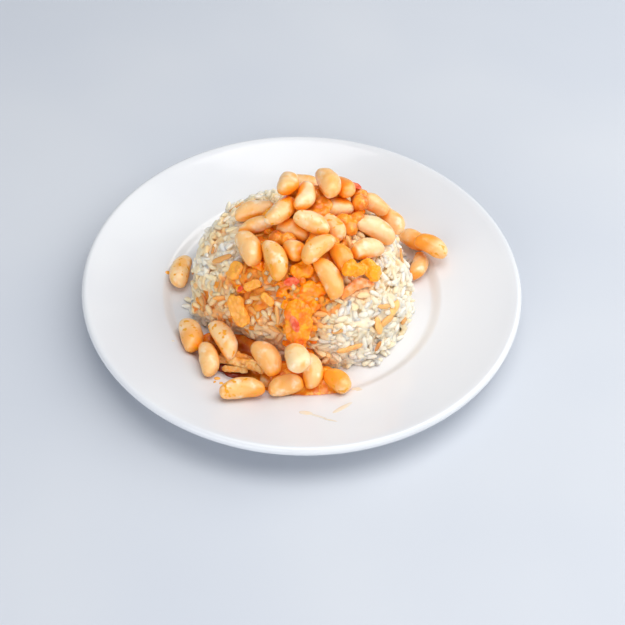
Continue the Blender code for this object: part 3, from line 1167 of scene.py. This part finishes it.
NOODLES = each(
    Bit,
    (-42.4, -13.9, 44.1, 5, 12, 0.1, 3.6, 0.45),
    (-53, -28.2, 25.8, 60, 12, 1.8, 2.2, 0.85),
    (50.5, 2, 33, -75, 11, 0.5, 1.8, 0.5),
    (46, -37, 26, 62, 12, 0.3, 4.2, 0.3),
    (49, -30, 28, 75, 11, 0.3, 5.6, 0.0),
    (42, -33, 32, 5, 8, 0.3, 2.6, 0.3),
    (57, -26, 14, 30, 6, 0.2, 4.0, 0.4),
    (40, -41, 26, -45, 10, 0.4, 4.2, 0.1),
    (42, -47, 16, -70, 6, 0.2, 2.4, 0.75),
    (27, -55, 20, 50, 15, 0.4, 3.4, 0.2),
    (20, -52, 32, 20, 7, 0.4, 2.2, 0.4),
    (-12, -48, 39, 85, 10, 0.3, 2.2, 0.3),
    (-22, -40, 43, 10, 9, 0.5, 2.4, 0.45),
    (-44, -30, 37, 50, 12, 1.0, 2.4, 0.55),
    (-50, 12, 40, 70, 9, 0.6, 2.2, 0.6),
    (-38, 32, 40, 30, 10, 0.5, 2.4, 0.4),
    (20, 50, 38, 10, 9, 0.4, 2.4, 0.4),
    (-10, 58, 28, -20, 10, 0.6, 2.2, 0.4),
    (40, 42, 28, 60, 9, 0.6, 2.4, 0.5),
    (-48, -4, 42, 80, 7, 0.4, 2.2, 0.6),
    (-60, 2, 20, 85, 8, 0.5, 2.2, 0.6),
)


def bent_rod(length, width, bend):
    """A noodle grain along X, blunt at its ends, bent in its own plane by an angle in radians."""
    along_x = (0, math.pi / 2, 0)
    bpy.ops.mesh.primitive_uv_sphere_add(segments=10, ring_count=14, radius=0.5, rotation=along_x)
    rod = just_added()
    for vert in rod.data.vertices:
        full = math.sqrt(max(1 - abs(2 * vert.co.x) ** NOODLE_FULLNESS, 0)) * width * MM / 2
        ring = math.hypot(vert.co.y, vert.co.z) or 1
        vert.co = (vert.co.x * length * MM, vert.co.y / ring * full, vert.co.z / ring * full * 0.7)
    modify(rod, "SIMPLE_DEFORM", deform_method="BEND", deform_axis="Z", angle=bend)
    return rod


def make_noodles(surface):
    mound = tree_of([frame["nodes"]["rice_mound"]])
    for number, bit in enumerate(NOODLES, start=1):
        rod = bent_rod(bit.length, bit.width, bit.bend)
        found, normal, _, _ = mound.find_nearest(Vector((bit.x, bit.y, bit.z)) * MM)
        turn = lying(normal, math.radians(bit.heading), 0.05, 0)
        place = found + normal * ((rise_of(max(normal.z, 0)) + NOODLE_LIFT) * MM)
        rod.data.transform(Matrix.Translation(place) @ turn.to_4x4())
        roughen(rod, NOODLE_RELIEF)
        write_attribute(rod, "tone", bit.tone)
        finish(rod, f"noodle_{number:02d}", surface, "cooked_rice")


# Each flake: a place, its length, width and thickness in millimetres, and its heading
Flake = namedtuple("Flake", "x y z length width thick heading")

# Flakes of tomato skin
SKINS = each(
    Flake,
    (-5, -36, 51.5, 8, 4.5, 1.6, 10),
    (-2.5, -54.5, 39.5, 9, 4.0, 2.6, -75),
    (-31.6, -34.3, 43, 4, 3.0, 1.4, 30),
    (26.8, 28.4, 61.4, 8, 6, 1.8, -40),
)

# Soft chunks of cooked vegetable in the sauce, golden
GOLDEN_CHUNKS = each(
    Flake,
    (-32.0, -42.0, 35.0, 17, 8.5, 4.4, -105),
    (-34.5, -23.5, 45.4, 10, 8, 5, 40),
    (-25, -34, 45.8, 9, 5, 3.4, 20),
    (-17, -42, 44, 8, 4, 3.0, -60),
)

# Shreds of cooked onion at the mound's foot, over the dark end of the pool
SHREDS = each(
    Flake,
    (-38.5, -55.5, 11, 15, 4, 3, -12),
    (-30, -59, 13.5, 16, 4.5, 3.2, -22),
    (-22.5, -63, 15, 11, 4, 3, -30),
    (-33, -61, 10.5, 14, 3.4, 2.6, -4),
    (-36, -53, 13, 11, 3.4, 2.6, 12),
    (-29, -56, 14.5, 14, 3, 2.4, -34),
    (-25, -60.5, 16, 10, 3, 2.4, -8),
)

# Films of sauce on the glaze
SMEARS = each(
    Flake,
    (4.7, -89.9, 12.8, 7, 3.0, 0.5, -10),
    (10.5, -92.3, 13.4, 10, 1.4, 0.5, -25),
    (17, -95.5, 14.4, 7, 1.0, 0.4, -18),
    (23, -85.5, 12.4, 13, 2.6, 0.4, 42),
    (30.5, -70.5, 9.2, 6, 3.4, 0.6, -10),
    (-67.2, -42.7, 10.2, 1.6, 1.2, 0.5, 0),
)

CRUMBS_ON_PLATE = each(
    Flake,
    (-41.9, -67.6, 9.2, 3.4, 2.2, 1.2, 20),
    (-39.5, -71, 9.6, 2.2, 1.8, 1.0, 0),
    (-43, -70.5, 10.0, 1.6, 1.2, 0.8, 60),
    (-75.5, 9, 9.6, 3.0, 2.4, 1.0, 30),
)


def set_down(piece, flake, normal):
    """Turns a piece made round the origin onto a surface with that normal, and moves it to its place."""
    turn = lying(normal, math.radians(flake.heading), 0, 0)
    piece.data.transform(Matrix.Translation(Vector(flake[:3]) * MM) @ turn.to_4x4())
    return piece


def make_flake(flake, normal):
    """A thin uneven flake that lies on a surface with that normal."""
    size = [size * MM for size in (flake.length, flake.width, flake.thick)]
    bpy.ops.mesh.primitive_ico_sphere_add(subdivisions=4, radius=0.5, scale=size)
    piece = just_added()
    roughen(piece, ((3, 0.45 * flake.thick),), depth=2)
    return set_down(piece, flake, normal)


def make_block(flake, normal):
    """A soft chunk with blunt ends that lies on a surface with that normal."""
    size = [size * MM for size in (flake.length, flake.width, flake.thick)]
    bpy.ops.mesh.primitive_cube_add(size=1, scale=size)
    piece = just_added()
    modify(piece, "SUBSURF", subdivision_type="SIMPLE", levels=1, render_levels=1)
    modify(piece, "SUBSURF", levels=4, render_levels=4)
    roughen(piece, BLOCK_RELIEF)
    return set_down(piece, flake, normal)


def on_plate(flake, plate):
    """The flake moved onto the plate's surface, and the way that the surface faces there."""
    place, normal, _, _ = plate.find_nearest(Vector(flake[:3]) * MM)
    return flake._replace(x=place.x / MM, y=place.y / MM, z=place.z / MM), normal


def make_bits_on_mound(skin, sauce, onion):
    """Flakes of tomato skin, golden chunks, and shreds of onion that lie flatter than the mound."""
    mound = tree_of([frame["nodes"]["rice_mound"]])

    def facing(flake):
        return mound.find_nearest(Vector(flake[:3]) * MM)[1]

    for number, flake in enumerate(SKINS, start=1):
        finish(make_flake(flake, facing(flake)), f"tomato_skin_{number}", skin, "stewed_tomato")
    for number, flake in enumerate(GOLDEN_CHUNKS, start=1):
        chunk = make_block(flake, facing(flake))
        write_attribute(chunk, "thin", 0.8)
        finish(chunk, f"golden_chunk_{number}", sauce, "stewed_tomato")
    for number, flake in enumerate(SHREDS, start=1):
        shred = make_block(flake, (facing(flake) + UP).normalized())
        finish(shred, f"loose_shred_{number}", onion, "stewed_onion")


def make_bits_on_plate(smear, sauce):
    plate = tree_of([frame["nodes"]["plate"]])
    for number, flake in enumerate(SMEARS, start=1):
        finish(make_flake(*on_plate(flake, plate)), f"smear_{number}", smear, "stewed_tomato")
    for number, flake in enumerate(CRUMBS_ON_PLATE, start=1):
        crumb = make_flake(*on_plate(flake, plate))
        write_attribute(crumb, "thin", 1.0)
        finish(crumb, f"crumb_{number}", sauce, "stewed_tomato")


# ---------------------------------------------------------------- stage


def make_stage():
    """A plain pale floor."""
    bpy.ops.mesh.primitive_plane_add(size=6, location=(0, 0, 0))
    floor = bpy.context.object
    floor.name = "floor"
    made, tree, shader = new_material("pale_stone", Roughness=0.45)
    dress(shader, patched(tree, 180, (0.3, 0.7), "#c8ced8", "#ced3db"))
    floor.data.materials.append(made)


def area_light(name, place, aim, size, power, tint):
    data = bpy.data.lights.new(name, "AREA")
    data.shape = "DISK"
    data.size = size
    data.energy = power
    data.color = colour(tint)[:3]
    light = put_in_scene(name, data)
    light.location = place
    light.rotation_euler = (Vector(aim) - Vector(place)).to_track_quat("-Z", "Y").to_euler()


def make_lights():
    """Soft light from above and the right, filled in from the front, under a pale sky."""
    foot = (0, 0, 0)
    food = (0, 0, 0.02)
    area_light("ceiling", (0.15, 0.0, 1.55), foot, size=1.3, power=11, tint="#fffdfa")
    area_light("window", (0.95, 0.3, 0.85), foot, size=1.4, power=12, tint="#fffefb")
    area_light("front_fill", (-0.6, -1.2, 0.5), food, size=1.2, power=8, tint="#fcfdff")
    area_light("side_fill", (0.55, -1.2, 0.4), food, size=1.2, power=4, tint="#fcfdff")
    world = bpy.data.worlds.new("soft_sky")
    world.use_nodes = True
    background = world.node_tree.nodes["Background"]
    background.inputs["Color"].default_value = colour("#eff3fa")
    background.inputs["Strength"].default_value = 0.29
    bpy.context.scene.world = world
    bpy.context.scene.view_settings.view_transform = "Standard"


def make_camera():
    data = bpy.data.cameras.new("camera")
    data.lens = LENS
    camera = put_in_scene("camera", data)
    back = Vector((0, -math.cos(ELEVATION), math.sin(ELEVATION)))
    camera.location = AIM + back * DISTANCE
    level = (-back).to_track_quat("-Z", "Y").to_matrix()
    camera.rotation_euler = (level @ Matrix.Rotation(ROLL, 3, "Z")).to_euler()
    bpy.context.scene.camera = camera


# ---------------------------------------------------------------- everything


def main():
    make_camera()
    make_stage()
    make_lights()
    rice = cooked_rice()
    sauce = tomato_sauce()
    pulp = tomato_pulp()
    make_plate(glazed_porcelain())
    beans = make_beans(boiled_bean())
    onion = stewed_onion("stewed_onion", "#ffa25c", "#ffcc9c", "#ff9a3c")
    golden_onion = stewed_onion("golden_onion", "#f0a648", "#ffd08a", "#e8962c")
    morsels = make_tomato(pulp) + make_onion(onion, golden_onion)
    make_rice(rice, tree_of(beans + morsels))
    make_film(sauce)
    make_pulp(pulp)
    make_crown_sauce(sauce)
    make_pool(sauce)
    make_noodles(browned_noodle())
    make_bits_on_mound(tomato_skin(), sauce, golden_onion)
    make_bits_on_plate(thin_smear(), sauce)


main()
